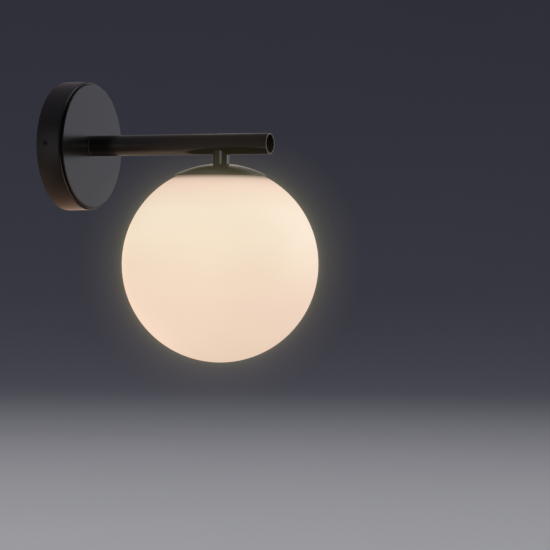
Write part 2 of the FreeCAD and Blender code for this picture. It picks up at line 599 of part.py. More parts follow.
cl, ls_ = [], []
for s in (-1, 1):
    x = s * PIN_X
    c = box(x - 1.7, x + 1.7, STEM_Y - 1.15, STEM_Y + 1.15, -38.8, -38.4)
    for t in (-1, 1):
        a, b = sorted((STEM_Y + t * 0.78, STEM_Y + t * 1.15))
        c = c.fuse(box(x - 1.7, x + 1.7, a, b, -50.6, -38.4))
    c = c.fuse(cyl_z(0.95, -38.6, -37.0, x, STEM_Y)).removeSplitter()
    cl.append(fix(c))
    w = cyl_z(2.8, -42.0, -40.0, s * LH_SCREW_X, STEM_Y).fuse(cyl_z(1.47, -40.2, -30.4, s * LH_SCREW_X, STEM_Y)).removeSplitter()
    w = w.cut(box(s * LH_SCREW_X - 3, s * LH_SCREW_X + 3, STEM_Y - 0.4, STEM_Y + 0.4, -43, -41.0))
    ls_.append(fix(w))
add("lampholder_contacts", Part.makeCompound(cl))
add("lampholder_screws", Part.makeCompound(ls_))

# ---------------------------------------------------------------------------
# lamp with two wire-loop pins, 9 mm apart
# ---------------------------------------------------------------------------
LAMP_TOP = LH_BOT_Z - 0.3
base = obround_z(7.6, 4.6, LAMP_TOP - 11.5, LAMP_TOP, 0, STEM_Y)
base = base.makeFillet(0.6, [e for e in base.Edges if abs(e.BoundBox.ZMin - LAMP_TOP) < 0.01])
base = base.fuse(rev_z([(0, LAMP_TOP - 11.5), (6.4, LAMP_TOP - 11.0), (8.5, LAMP_TOP - 12.6), (8.5, LAMP_TOP - 15.5),
                        (7.4, LAMP_TOP - 15.5), (7.4, LAMP_TOP - 17.0), (0, LAMP_TOP - 17.0)],
                       [0, 0.6, 0.8, 0, 0, 0.3, 0])).removeSplitter()
base = base.cut(box(-5.2, 5.2, STEM_Y - 0.62, STEM_Y + 0.62, LAMP_TOP - 18, LAMP_TOP - 14.0))
for s in (-1, 1):
    for t in (-1, 1):
        base = base.cut(cyl_z(0.47, LAMP_TOP - 4, LAMP_TOP + 1, s * PIN_X + t * 1.2, STEM_Y))
add("lamp_base", fix(base))

pins = []
for s in (-1, 1):
    x = s * PIN_X
    z0, z1 = LAMP_TOP - 4.0, LAMP_TOP + 5.0
    w = Part.Wire([Part.LineSegment(V(x - 1.2, STEM_Y, z0), V(x - 1.2, STEM_Y, z1)).toShape(),
                   Part.Arc(V(x - 1.2, STEM_Y, z1), V(x, STEM_Y, z1 + 1.2), V(x + 1.2, STEM_Y, z1)).toShape(),
                   Part.LineSegment(V(x + 1.2, STEM_Y, z1), V(x + 1.2, STEM_Y, z0)).toShape()])
    pins.append(sweep(w, 0.45))
add("lamp_pins", Part.makeCompound(pins))

EZ0 = LAMP_TOP - 15.5
EH = 34.0
env = Part.Wire([
    Part.LineSegment(q(7.45, EZ0), q(8.4, EZ0)).toShape(),
    Part.LineSegment(q(8.4, EZ0), q(8.4, EZ0 - EH + 8.4)).toShape(),
    Part.Arc(q(8.4, EZ0 - EH + 8.4), q(8.4 * math.cos(math.pi / 4), EZ0 - EH + 8.4 - 8.4 * math.sin(math.pi / 4)),
             q(0, EZ0 - EH)).toShape(),
    Part.LineSegment(q(0, EZ0 - EH), q(0, EZ0 - EH + 0.95)).toShape(),
    Part.Arc(q(0, EZ0 - EH + 0.95), q(7.45 * math.cos(math.pi / 4), EZ0 - EH + 8.4 - 7.45 * math.sin(math.pi / 4)),
             q(7.45, EZ0 - EH + 8.4)).toShape(),
    Part.LineSegment(q(7.45, EZ0 - EH + 8.4), q(7.45, EZ0)).toShape()])
add("lamp_envelope", revolve(env, V(0, STEM_Y, 0), V(0, 0, 1)))
core = box(-5.1, 5.1, STEM_Y - 0.6, STEM_Y + 0.6, LAMP_TOP - 42.5, LAMP_TOP - 14.1)
for k in range(5):
    z = LAMP_TOP - 20.5 - 5.0 * k
    for x in (-2.6, 2.6):
        core = core.fuse(box(x - 1.2, x + 1.2, STEM_Y - 1.3, STEM_Y + 1.3, z - 1.7, z + 1.7))
add("lamp_led_board", fix(core.removeSplitter()))

# ---------------------------------------------------------------------------
# leads, held inside all the way
# ---------------------------------------------------------------------------
for name, px, c1, c2, c3, s in (("live_lead", -TB_PITCH, (-7.2, -6.4, 17), (-4.2, -4.9, 8.6), (-1.7, -5.5, 2.3), -1),
                                ("neutral_lead", 0.0, (0.9, -6.3, 17), (1.9, -4.9, 8.6), (1.7, -5.5, 2.3), 1)):
    x = s * 1.16
    pts = [V(px, TB_Y, TB_Z0 + 1), V(px, TB_Y, 23.5), V(*c1), V(*c2), V(*c3), V(x, -10.6, -0.2), V(x, STEM_Y, 0),
           V(x, STEM_Y, -22.0), V(s * PIN_X, STEM_Y, -30.0), V(s * PIN_X, STEM_Y, -37.0)]
    pts = [pts[0]] + pts[2:]
    w = lead_path(pts, {5: 6.8})
    body = sweep(w, LEAD_R)
    bare = cyl_z(CORE_R, TB_Z0 + 1, TB_Z0 + 6.5, px, TB_Y)
    add(name, fix(body.fuse(bare).removeSplitter()))
pts = [V(14.6, BARREL_Y, 0), V(24.5, BARREL_Y, 0), V(28, -12.5, 9.5), V(20.5, -9.6, 16.2), V(9.2, -7.7, 15.2),
       V(TB_PITCH, TB_Y, TB_Z0 + 1)]
w = lead_path(pts, {})
body = sweep(w, LEAD_R)
add("earth_lead", fix(body.fuse(cyl_z(CORE_R, TB_Z0 + 1, TB_Z0 + 6.5, TB_PITCH, TB_Y)).removeSplitter()))

# ---------------------------------------------------------------------------
# total mass of glass for reference
# ---------------------------------------------------------------------------
print("glass volume %.0f mm3" % NODES["glass_globe"].Volume)
print("nodes", len(NODES))
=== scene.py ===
import bpy
import bmesh
import math
from mathutils import Matrix, Vector

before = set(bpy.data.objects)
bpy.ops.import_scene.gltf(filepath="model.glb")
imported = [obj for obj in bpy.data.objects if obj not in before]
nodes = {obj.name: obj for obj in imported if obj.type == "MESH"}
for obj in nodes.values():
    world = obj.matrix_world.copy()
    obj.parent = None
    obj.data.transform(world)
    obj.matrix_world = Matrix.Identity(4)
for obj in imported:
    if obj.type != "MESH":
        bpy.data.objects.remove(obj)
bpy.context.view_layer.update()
scene = bpy.context.scene
scene.view_settings.view_transform = "Standard"
scene.view_settings.look = "None"
scene.view_settings.exposure = 0.0
scene.view_settings.gamma = 1.0

GLOBE = Vector((0.0, -0.133, -0.0915))
GLOBE_R = 0.075
FACE_Y = -0.022
ARM_R = 0.008


# ---------------------------------------------------------------------------
# node helpers
# ---------------------------------------------------------------------------
class Mat:
    """One procedural material: a Principled shader and the nodes that feed it."""

    def __init__(self, name):
        self.m = bpy.data.materials.new(name)
        self.m.use_nodes = True
        self.nt = self.m.node_tree
        self.p = self.nt.nodes["Principled BSDF"]
        tc = self.nt.nodes.new("ShaderNodeTexCoord")
        self.obj = tc.outputs["Object"]

    def new(self, kind, **props):
        n = self.nt.nodes.new(kind)
        for k, v in props.items():
            setattr(n, k, v)
        return n

    def put(self, socket, value):
        if isinstance(value, bpy.types.NodeSocket):
            self.nt.links.new(value, socket)
        else:
            socket.default_value = value

    def set(self, **values):
        for k, v in values.items():
            self.put(self.p.inputs[k.replace("_", " ")], v)

    def stretch(self, scale, rot=(0, 0, 0), loc=(0, 0, 0)):
        n = self.new("ShaderNodeMapping")
        self.put(n.inputs["Vector"], self.obj)
        n.inputs["Scale"].default_value = scale
        n.inputs["Rotation"].default_value = rot
        n.inputs["Location"].default_value = loc
        return n.outputs["Vector"]

    def noise(self, scale, detail=3.0, rough=0.5, vec=None, distort=0.0):
        n = self.new("ShaderNodeTexNoise")
        self.put(n.inputs["Vector"], self.obj if vec is None else vec)
        n.inputs["Scale"].default_value = scale
        n.inputs["Detail"].default_value = detail
        n.inputs["Roughness"].default_value = rough
        n.inputs["Distortion"].default_value = distort
        return n.outputs["Fac"]

    def voronoi(self, scale, out="Distance", feature="F1", vec=None):
        n = self.new("ShaderNodeTexVoronoi", feature=feature)
        self.put(n.inputs["Vector"], self.obj if vec is None else vec)
        n.inputs["Scale"].default_value = scale
        return n.outputs[out]

    def ramp(self, fac, stops):
        n = self.new("ShaderNodeValToRGB")
        self.put(n.inputs["Fac"], fac)
        els = n.color_ramp.elements
        while len(els) < len(stops):
            els.new(0.5)
        for e, (pos, col) in zip(els, stops):
            e.position = pos
            e.color = (*col, 1.0) if len(col) == 3 else col
        return n.outputs["Color"]

    def remap(self, fac, a, b, c, d):
        n = self.new("ShaderNodeMapRange")
        self.put(n.inputs["Value"], fac)
        for k, v in zip(("From Min", "From Max", "To Min", "To Max"), (a, b, c, d)):
            self.put(n.inputs[k], v)
        return n.outputs["Result"]

    def math(self, op, a, b=0.0, clamp=False):
        n = self.new("ShaderNodeMath", operation=op, use_clamp=clamp)
        self.put(n.inputs[0], a)
        self.put(n.inputs[1], b)
        return n.outputs[0]

    def mix(self, fac, a, b, mode="MIX"):
        n = self.new("ShaderNodeMix", data_type="RGBA", blend_type=mode)
        self.put(n.inputs["Factor"], fac)
        self.put(n.inputs["A"], a if isinstance(a, bpy.types.NodeSocket) else (*a, 1.0))
        self.put(n.inputs["B"], b if isinstance(b, bpy.types.NodeSocket) else (*b, 1.0))
        return n.outputs["Result"]

    def bump(self, height, strength, distance, normal=None):
        n = self.new("ShaderNodeBump")
        n.inputs["Strength"].default_value = strength
        n.inputs["Distance"].default_value = distance
        self.put(n.inputs["Height"], height)
        if normal is not None:
            self.put(n.inputs["Normal"], normal)
        return n.outputs["Normal"]

    def axis(self, i):
        n = self.new("ShaderNodeSeparateXYZ")
        self.put(n.inputs[0], self.obj)
        return n.outputs[i]

    def edges(self, radius, low=0.02, high=0.25):
        """1 on rounded and sharp outer edges, 0 on open faces."""
        b = self.new("ShaderNodeBevel", samples=6)
        b.inputs["Radius"].default_value = radius
        g = self.new("ShaderNodeNewGeometry")
        d = self.new("ShaderNodeVectorMath", operation="DOT_PRODUCT")
        self.put(d.inputs[0], b.outputs["Normal"])
        self.put(d.inputs[1], g.outputs["Normal"])
        inv = self.math("SUBTRACT", 1.0, d.outputs["Value"])
        return self.remap(inv, low, high, 0.0, 1.0)


# ---------------------------------------------------------------------------
# materials
# ---------------------------------------------------------------------------
def black_coat(name, dark=(0.010, 0.0098, 0.0098), light=(0.017, 0.0165, 0.017), rough=(0.26, 0.35), streak=None,
               edge_wear_and_sheen=0.35, grain=0.04, painted_highlight_end_y=None, inner=None, lines=1.0):
    """Satin black coat: fine orange peel, cloudy tone, faint rubbed streaks and paler edges."""
    m = Mat(name)
    cloud = m.noise(42.0, 4.0, 0.55)
    fine = m.noise(900.0, 2.0, 0.5)
    col = m.ramp(m.remap(cloud, 0.3, 0.7, 0.0, 1.0), [(0.0, dark), (1.0, light)])
    speck = m.remap(m.voronoi(1500.0), 0.0, 0.16, 1.0, 0.0)
    col = m.mix(m.math("MULTIPLY", speck, 0.04), col, (0.06, 0.058, 0.056))
    # paler edges: wear, and on the arm, where this is set high, partly a painted edge highlight
    edge = m.edges(0.0006)
    edge_n = m.math("MULTIPLY", edge, m.remap(m.noise(240.0, 3.0), 0.35, 0.65, 0.35, 1.0))
    col = m.mix(m.math("MULTIPLY", edge_n, edge_wear_and_sheen, clamp=True), col, (0.16, 0.155, 0.145))
    lo, hi = rough
    r = m.math("ADD", m.remap(cloud, 0.25, 0.75, lo, hi), m.remap(fine, 0.3, 0.7, -0.015, 0.015))
    if streak is not None:
        s = m.noise(1.0, 3.0, 0.6, vec=m.stretch(streak))
        r = m.math("ADD", r, m.remap(s, 0.3, 0.7, -0.04 * lines, 0.04 * lines))
        col = m.mix(m.remap(s, 0.45, 0.75, 0.0, 0.30 * lines), col, tuple(1.35 * c for c in light))
    # paler inside of the cup: painted fill light in the hollow that the lamps barely reach, together with the thinner
    # coat there
    if inner is not None:
        flat = m.new("ShaderNodeVectorMath", operation="MULTIPLY")
        m.put(flat.inputs[0], m.obj)
        flat.inputs[1].default_value = (1.0, 0.0, 1.0)
        rad = m.new("ShaderNodeVectorMath", operation="LENGTH")
        m.put(rad.inputs[0], flat.outputs["Vector"])
        k = m.remap(rad.outputs["Value"], inner - 0.0002, inner + 0.0002, 1.0, 0.0)
        k = m.math("MULTIPLY", k, m.remap(m.axis(1), -0.0192, -0.0189, 0.0, 1.0))
        painted_inside_light = m.ramp(m.noise(95.0, 5.0, 0.62), [(0.32, (0.030, 0.030, 0.031)), (0.68, (0.062, 0.061, 0.060))])
        col = m.mix(k, col, painted_inside_light)
    if painted_highlight_end_y is not None:
        # lighter, rougher rim at the tube's open end: painted highlight of the cut edge catching the light, over bare
        # cut metal
        k = m.remap(m.axis(1), painted_highlight_end_y, painted_highlight_end_y + 0.0003, 1.0, 0.0)
        col = m.mix(k, col, m.ramp(m.noise(700.0, 3.0), [(0.3, (0.11, 0.107, 0.102)), (0.7, (0.16, 0.156, 0.150))]))
        r = m.math("ADD", r, m.math("MULTIPLY", k, 0.08))
        # lighter ring at the tube's root against the face: painted highlight of its edge
        k = m.remap(m.axis(1), FACE_Y - 0.0007, FACE_Y - 0.0005, 0.0, 1.0)
        col = m.mix(k, col, m.ramp(m.noise(500.0, 3.0), [(0.3, (0.040, 0.039, 0.038)), (0.7, (0.075, 0.073, 0.070))]))
    m.set(Base_Color=col, Roughness=r)
    m.p.inputs["Specular IOR Level"].default_value = 0.5
    peel = m.noise(1100.0, 2.0, 0.45)
    n1 = m.bump(peel, grain, 0.00004)
    n2 = m.bump(cloud, 0.05, 0.0004, n1)
    m.set(Normal=n2)
    return m.m


def plated(name, base, rough=0.30, spangle=0.06, brushed=None, thread=None, metallic=1.0):
    """Plated or machined metal: small crystal tone, fine tool lines, stain and handling marks."""
    m = Mat(name)
    cell = m.voronoi(700.0, "Color")
    tone = m.new("ShaderNodeRGBToBW")
    m.put(tone.inputs[0], cell)
    stain = m.noise(160.0, 4.0, 0.6)
    lo = tuple(c * (1 - spangle - 0.08) for c in base)
    hi = tuple(min(1.0, c * (1 + spangle)) for c in base)
    mixv = m.math("ADD", m.math("MULTIPLY", tone.outputs[0], 0.5), m.math("MULTIPLY", stain, 0.5))
    col = m.ramp(m.remap(mixv, 0.3, 0.7, 0.0, 1.0), [(0.0, lo), (1.0, hi)])
    edge = m.edges(0.0003)
    col = m.mix(m.math("MULTIPLY", edge, 0.35, clamp=True), col, tuple(min(1.0, c * 1.35) for c in base))
    r = m.remap(stain, 0.25, 0.75, rough - 0.07, rough + 0.10)
    h = m.noise(2600.0, 2.0)
    if brushed is not None:
        s = m.noise(1.0, 4.0, 0.65, vec=m.stretch(brushed))
        r = m.math("ADD", r, m.remap(s, 0.3, 0.7, -0.08, 0.08))
        h = m.math("ADD", h, s)
    nrm = m.bump(h, 0.12, 0.00006)
    if thread is not None:
        ax, pitch = thread
        w = m.math("SINE", m.math("MULTIPLY", m.axis(ax), 2 * math.pi / pitch))
        nrm = m.bump(w, 0.9, 0.00022, nrm)
        # painted shade in the thread grooves: the colour darkens in the troughs
        col = m.mix(m.remap(w, -1.0, 0.2, 0.45, 0.0), col, tuple(c * 0.3 for c in base))
    m.set(Base_Color=col, Roughness=r, Normal=nrm)
    m.p.inputs["Metallic"].default_value = metallic
    return m.m


def moulded(name, base, vary=0.10, rough=0.5, grain=1400.0, depth=0.00005, tint=None, coat=0.0):
    """Moulded plastic, rubber or fired ceramic: fine grain, slight cloud and paler rubbed edges."""
    m = Mat(name)
    cloud = m.noise(120.0, 4.0, 0.55)
    dark = tuple(c * (1 - vary) for c in base)
    lite = tuple(min(1.0, c * (1 + vary)) for c in base) if tint is None else tint
    col = m.ramp(m.remap(cloud, 0.3, 0.7, 0.0, 1.0), [(0.0, dark), (1.0, lite)])
    grit = m.remap(m.voronoi(grain * 1.3), 0.0, 0.2, 1.0, 0.0)
    col = m.mix(m.math("MULTIPLY", grit, 0.15), col, tuple(c * 0.6 for c in base))
    edge = m.edges(0.0004)
    col = m.mix(m.math("MULTIPLY", edge, 0.3, clamp=True), col, tuple(min(1.0, c * 1.3 + 0.02) for c in base))
    r = m.math("ADD", m.remap(cloud, 0.3, 0.7, rough - 0.06, rough + 0.06), m.remap(grit, 0, 1, 0.0, 0.05))
    m.set(Base_Color=col, Roughness=r, Normal=m.bump(m.noise(grain, 3.0), 0.25, depth))
    if coat:
        m.p.inputs["Coat Weight"].default_value = coat
        m.p.inputs["Coat Roughness"].default_value = 0.15
    return m.m


def opal(name):
    """Satin opal glass, lit from inside: warm white emission, a little deeper towards the pole and the cap, with a
    painted shadow just under the cap rim and the side away from the wall painted slightly dimmer.
    """
    m = Mat(name)
    h = m.remap(m.axis(2), GLOBE.z - GLOBE_R, GLOBE.z + GLOBE_R, 0.0, 1.0)
    cloud = m.noise(26.0, 3.0, 0.5)
    hh = m.math("ADD", h, m.remap(cloud, 0.3, 0.7, -0.02, 0.02))
    glow = m.ramp(hh, [(0.0, (0.730, 0.520, 0.385)), (0.14, (0.762, 0.522, 0.402)), (0.30, (0.766, 0.524, 0.405)),
                       (0.50, (0.765, 0.550, 0.410)), (0.64, (0.781, 0.597, 0.444)), (0.765, (0.785, 0.612, 0.459)),
                       (0.911, (0.728, 0.496, 0.378)), (1.0, (0.69, 0.46, 0.355))])
    # painted shadow of the cap and holder: the glow fades to dark just below the cap rim
    painted_cap_shadow = m.ramp(h, [(0.884, (1.0, 1.0, 1.0)), (0.900, (0.975, 0.97, 0.97)), (0.910, (0.94, 0.93, 0.93)),
                     (0.921, (0.87, 0.86, 0.85)), (0.927, (0.80, 0.79, 0.78)), (0.932, (0.66, 0.65, 0.64)),
                     (0.9375, (0.42, 0.41, 0.40)), (0.943, (0.22, 0.21, 0.20))])
    glow = m.mix(1.0, glow, painted_cap_shadow, "MULTIPLY")
    # painted shade: the glow is dimmer on the side away from the wall, slightly brighter and cooler towards it
    side = m.ramp(m.remap(m.axis(1), GLOBE.y - GLOBE_R, GLOBE.y + 0.03, 0.0, 1.0),
                  [(0.0, (0.955, 0.955, 0.965)), (0.55, (1.0, 0.995, 0.995)), (1.0, (1.012, 1.022, 1.035))])
    glow = m.mix(1.0, glow, side, "MULTIPLY")
    base = m.ramp(m.remap(cloud, 0.3, 0.7, 0.0, 1.0), [(0.0, (0.43, 0.41, 0.37)), (1.0, (0.48, 0.46, 0.42))])
    fine = m.noise(520.0, 3.0, 0.55)
    m.set(Base_Color=base, Roughness=m.remap(fine, 0.3, 0.7, 0.42, 0.52), Emission_Color=glow)
    m.p.inputs["Emission Strength"].default_value = 1.0
    m.p.inputs["Specular IOR Level"].default_value = 0.35
    m.set(Normal=m.bump(fine, 0.06, 0.0001))
    return m.m


def sheath(name, base, stripe=None, stripe_turns=0.0):
    """Silicone lead sheath: soft sheen, fine extrusion lines and scuffs, with an optional second colour."""
    m = Mat(name)
    cloud = m.noise(300.0, 3.0, 0.6)
    col = m.ramp(m.remap(cloud, 0.3, 0.7, 0.0, 1.0), [(0.0, tuple(c * 0.82 for c in base)),
                                                      (1.0, tuple(min(1.0, c * 1.12) for c in base))])
    if stripe is not None:
        w = m.math("SINE", m.math("MULTIPLY", m.axis(0), stripe_turns))
        k = m.remap(w, -0.15, 0.15, 0.0, 1.0)
        col = m.mix(k, col, stripe)
    m.set(Base_Color=col, Roughness=m.remap(cloud, 0.3, 0.7, 0.38, 0.5), Normal=m.bump(m.noise(1900.0, 2.0), 0.2, 0.00004))
    m.p.inputs["Sheen Weight"].default_value = 0.15
    return m.m


def braid(name, base):
    """Braided glass-fibre sleeving."""
    m = Mat(name)
    a = m.new("ShaderNodeTexWave", wave_type="BANDS", bands_direction="DIAGONAL")
    m.put(a.inputs["Vector"], m.obj)
    a.inputs["Scale"].default_value = 520.0
    b = m.new("ShaderNodeTexWave", wave_type="BANDS", bands_direction="DIAGONAL")
    m.put(b.inputs["Vector"], m.stretch((-1.0, 1.0, 1.0)))
    b.inputs["Scale"].default_value = 520.0
    w = m.math("MAXIMUM", a.outputs["Fac"], b.outputs["Fac"])
    col = m.ramp(w, [(0.3, tuple(c * 0.62 for c in base)), (0.9, base)])
    m.set(Base_Color=col, Roughness=m.remap(w, 0.0, 1.0, 0.75, 0.55), Normal=m.bump(w, 0.7, 0.00015))
    return m.m


def led_board(name):
    """White board with yellow emitters, which stand proud of it on both sides."""
    m = Mat(name)
    y = m.math("ABSOLUTE", m.math("SUBTRACT", m.axis(1), GLOBE.y))
    chip = m.remap(y, 0.00075, 0.00085, 0.0, 1.0)
    cloud = m.noise(700.0, 3.0)
    white = m.ramp(cloud, [(0.3, (0.74, 0.74, 0.70)), (0.7, (0.86, 0.86, 0.82))])
    yellow = m.ramp(cloud, [(0.3, (0.86, 0.55, 0.08)), (0.7, (0.95, 0.66, 0.14))])
    m.set(Base_Color=m.mix(chip, white, yellow), Roughness=m.remap(cloud, 0.3, 0.7, 0.35, 0.5),
          Normal=m.bump(m.noise(2400.0), 0.2, 0.00004))
    return m.m


coat_face = black_coat("coat_face", dark=(0.0044, 0.0042, 0.0047), light=(0.0076, 0.0073, 0.0079), rough=(0.205, 0.255),
                       streak=(260.0, 1.0, 30.0), edge_wear_and_sheen=0.25, lines=0.3)
coat_cup = black_coat("coat_cup", dark=(0.0135, 0.0130, 0.0134), light=(0.0210, 0.0203, 0.0209), rough=(0.19, 0.26),
                      streak=(1.0, 260.0, 1.0), edge_wear_and_sheen=0.2, inner=0.0497, lines=0.5)
coat_arm = black_coat("coat_arm", dark=(0.0062, 0.0060, 0.0059), light=(0.0110, 0.0105, 0.0104), rough=(0.17, 0.25),
                      streak=(30.0, 9.0, 30.0), edge_wear_and_sheen=0.75, painted_highlight_end_y=-0.17398, lines=0.6)
coat_stem = black_coat("coat_stem", rough=(0.20, 0.30), edge_wear_and_sheen=0.3)
# the cap's coat is painted lighter and warmer than the other black coats: painted glow of the lit globe on it
coat_cap_painted_glow = black_coat("coat_cap_painted_glow", dark=(0.026, 0.025, 0.022), light=(0.040, 0.039, 0.034), rough=(0.20, 0.28), edge_wear_and_sheen=0.25)
coat_gap = black_coat("coat_gap", dark=(0.008, 0.008, 0.008), light=(0.014, 0.014, 0.014), rough=(0.45, 0.6), edge_wear_and_sheen=0.0)
opal_glass = opal("opal_glass")

zinc = plated("zinc", (0.60, 0.61, 0.62), rough=0.34)
zinc_sheet = plated("zinc_sheet", (0.58, 0.59, 0.60), rough=0.36, spangle=0.12, brushed=(900.0, 900.0, 30.0))
zinc_nut = plated("zinc_nut", (0.60, 0.61, 0.62), rough=0.28, brushed=(30.0, 30.0, 30.0))
nipple = plated("nipple", (0.62, 0.55, 0.36), rough=0.30, thread=(1, 0.001))
nipple_z = plated("nipple_z", (0.62, 0.55, 0.36), rough=0.30, thread=(2, 0.001))
spring = plated("spring", (0.20, 0.20, 0.21), rough=0.42)
brass = plated("brass", (0.78, 0.57, 0.25), rough=0.28, brushed=(40.0, 700.0, 40.0))
tinned = plated("tinned", (0.72, 0.70, 0.64), rough=0.36)
nickel = plated("nickel", (0.66, 0.64, 0.59), rough=0.22)
screw_zinc = plated("screw_zinc", (0.62, 0.63, 0.64), rough=0.26, thread=(1, 0.0006))
screw_black = black_coat("screw_black", dark=(0.016, 0.016, 0.016), light=(0.03, 0.03, 0.03), rough=(0.3, 0.4), edge_wear_and_sheen=0.8)

polyamide = moulded("polyamide", (0.80, 0.77, 0.68), vary=0.06, rough=0.46)
black_plastic = moulded("black_plastic", (0.022, 0.022, 0.022), vary=0.25, rough=0.48)
rubber = moulded("rubber", (0.02, 0.02, 0.021), vary=0.25, rough=0.72, grain=1100.0, depth=0.00008)
silicone = moulded("silicone", (0.74, 0.72, 0.67), vary=0.05, rough=0.42)
ceramic = moulded("ceramic", (0.80, 0.77, 0.70), vary=0.05, rough=0.55, grain=1800.0, depth=0.00006)
lamp_white = moulded("lamp_white", (0.82, 0.82, 0.80), vary=0.04, rough=0.25, coat=0.3)
frosted = moulded("frosted", (0.86, 0.83, 0.75), vary=0.04, rough=0.6)
frosted.node_tree.nodes["Principled BSDF"].inputs["Emission Color"].default_value = (1.0, 0.80, 0.55, 1.0)
frosted.node_tree.nodes["Principled BSDF"].inputs["Emission Strength"].default_value = 0.6
brown = sheath("brown", (0.13, 0.055, 0.028))
blue = sheath("blue", (0.03, 0.12, 0.42))
green_yellow = sheath("green_yellow", (0.62, 0.56, 0.04), stripe=(0.05, 0.26, 0.05), stripe_turns=900.0)
sleeve = braid("sleeve", (0.78, 0.75, 0.66))
board = led_board("board")

USE = {
    "wall_bracket": zinc_sheet, "cable_grommet": rubber, "canopy_lock_screws": screw_black, "canopy_cup": coat_cup,
    "spacer_disc": coat_gap, "face_plate": coat_face, "arm_tube": coat_arm, "arm_insert": zinc, "arm_nipple": nipple,
    "arm_end_plug": black_plastic, "arm_sleeving": sleeve, "nipple_bush": black_plastic, "arm_earth_tag": tinned,
    "toothed_washers": spring, "lock_nuts": zinc_nut, "terminal_block": polyamide, "terminal_clamps": brass,
    "terminal_screws": screw_zinc, "terminal_fixing_screw": screw_zinc, "earth_washer": brass, "earth_screw": brass,
    "stem": coat_stem, "cap_nipple": nipple_z, "shade_cap": coat_cap_painted_glow, "globe_holder": zinc, "cap_spacer": zinc,
    "glass_globe": opal_glass, "globe_gasket": silicone, "lampholder_bracket": zinc_sheet, "lampholder_body": ceramic,
    "lampholder_contacts": nickel, "lampholder_screws": screw_zinc, "lamp_base": lamp_white, "lamp_pins": nickel,
    "lamp_envelope": frosted, "lamp_led_board": board, "live_lead": brown, "neutral_lead": blue,
    "earth_lead": green_yellow,
}
for name, ob in nodes.items():
    ob.data.materials.clear()
    ob.data.materials.append(USE[name])

# ---------------------------------------------------------------------------
# studio: pale floor, dim surroundings, soft lights
# ---------------------------------------------------------------------------
FLOOR_Z = -0.45


def floor():
    """Flat paper floor that sweeps up on every side, well away from the object."""
    me = bpy.data.meshes.new("studio_floor")
    bm = bmesh.new()
    flat, bend, top = 5.0, 4.0, 7.0
    prof = [(r, 0.0) for r in (0.0, 0.6, 1.2, 2.4, 3.6, flat)]
    prof += [(flat + bend * math.sin(t), bend * (1 - math.cos(t))) for t in
             [math.pi / 2 * k / 28 for k in range(1, 29)]] + [(flat + bend, top)]
    seg = 160
    rings = []
    for r, z in prof:
        if r == 0.0:
            rings.append([bm.verts.new((0, 0, FLOOR_Z))])
        else:
            rings.append([bm.verts.new((r * math.cos(2 * math.pi * k / seg), r * math.sin(2 * math.pi * k / seg),
                                        FLOOR_Z + z)) for k in range(seg)])
    for i in range(1, len(rings)):
        lo, hi = rings[i - 1], rings[i]
        for k in range(seg):
            n = (k + 1) % seg
            if len(lo) == 1:
                bm.faces.new((lo[0], hi[k], hi[n]))
            else:
                bm.faces.new((lo[k], hi[k], hi[n], lo[n]))
    for f in bm.faces:
        f.smooth = True
    bm.normal_update()
    bm.to_mesh(me)
    bm.free()
    ob = bpy.data.objects.new("studio_floor", me)
    scene.collection.objects.link(ob)
    m = Mat("floor_paper")
    cloud = m.noise(1.2, 3.0)
    far = m.new("ShaderNodeVectorMath", operation="LENGTH")
    m.put(far.inputs[0], m.obj)
    # painted light pool: the paper is pale under the object and painted darker with distance, and darker again up the
    # sweep, in place of the light falling off
    painted_light_pool = m.ramp(m.remap(far.outputs["Value"], 0.45, 10.45, 0.0, 1.0),
                  [(0.0, (0.70, 0.70, 0.71)), (0.10, (0.68, 0.68, 0.69)), (0.22, (0.50, 0.50, 0.52)),
                   (0.34, (0.28, 0.28, 0.305)), (0.45, (0.160, 0.162, 0.19)), (0.60, (0.098, 0.101, 0.13)),
                   (1.0, (0.078, 0.081, 0.114))])
    painted_light_pool.node.color_ramp.interpolation = "B_SPLINE"
    high = m.remap(m.axis(2), FLOOR_Z, FLOOR_Z + 3.0, 0.0, 1.0)
    col = m.mix(1.0, painted_light_pool, m.ramp(high, [(0.0, (1.0, 1.0, 1.0)), (0.08, (0.94, 0.94, 0.95)), (0.5, (0.88, 0.88, 0.90))]),
                "MULTIPLY")
    col = m.mix(m.remap(cloud, 0.3, 0.7, 0.0, 0.06), col, (0.5, 0.5, 0.5), "MULTIPLY")
    m.set(Base_Color=col, Roughness=0.85)
    m.p.inputs["Specular IOR Level"].default_value = 0.2
    me.materials.append(m.m)
    ob.visible_glossy = ob.visible_diffuse = False
    return ob


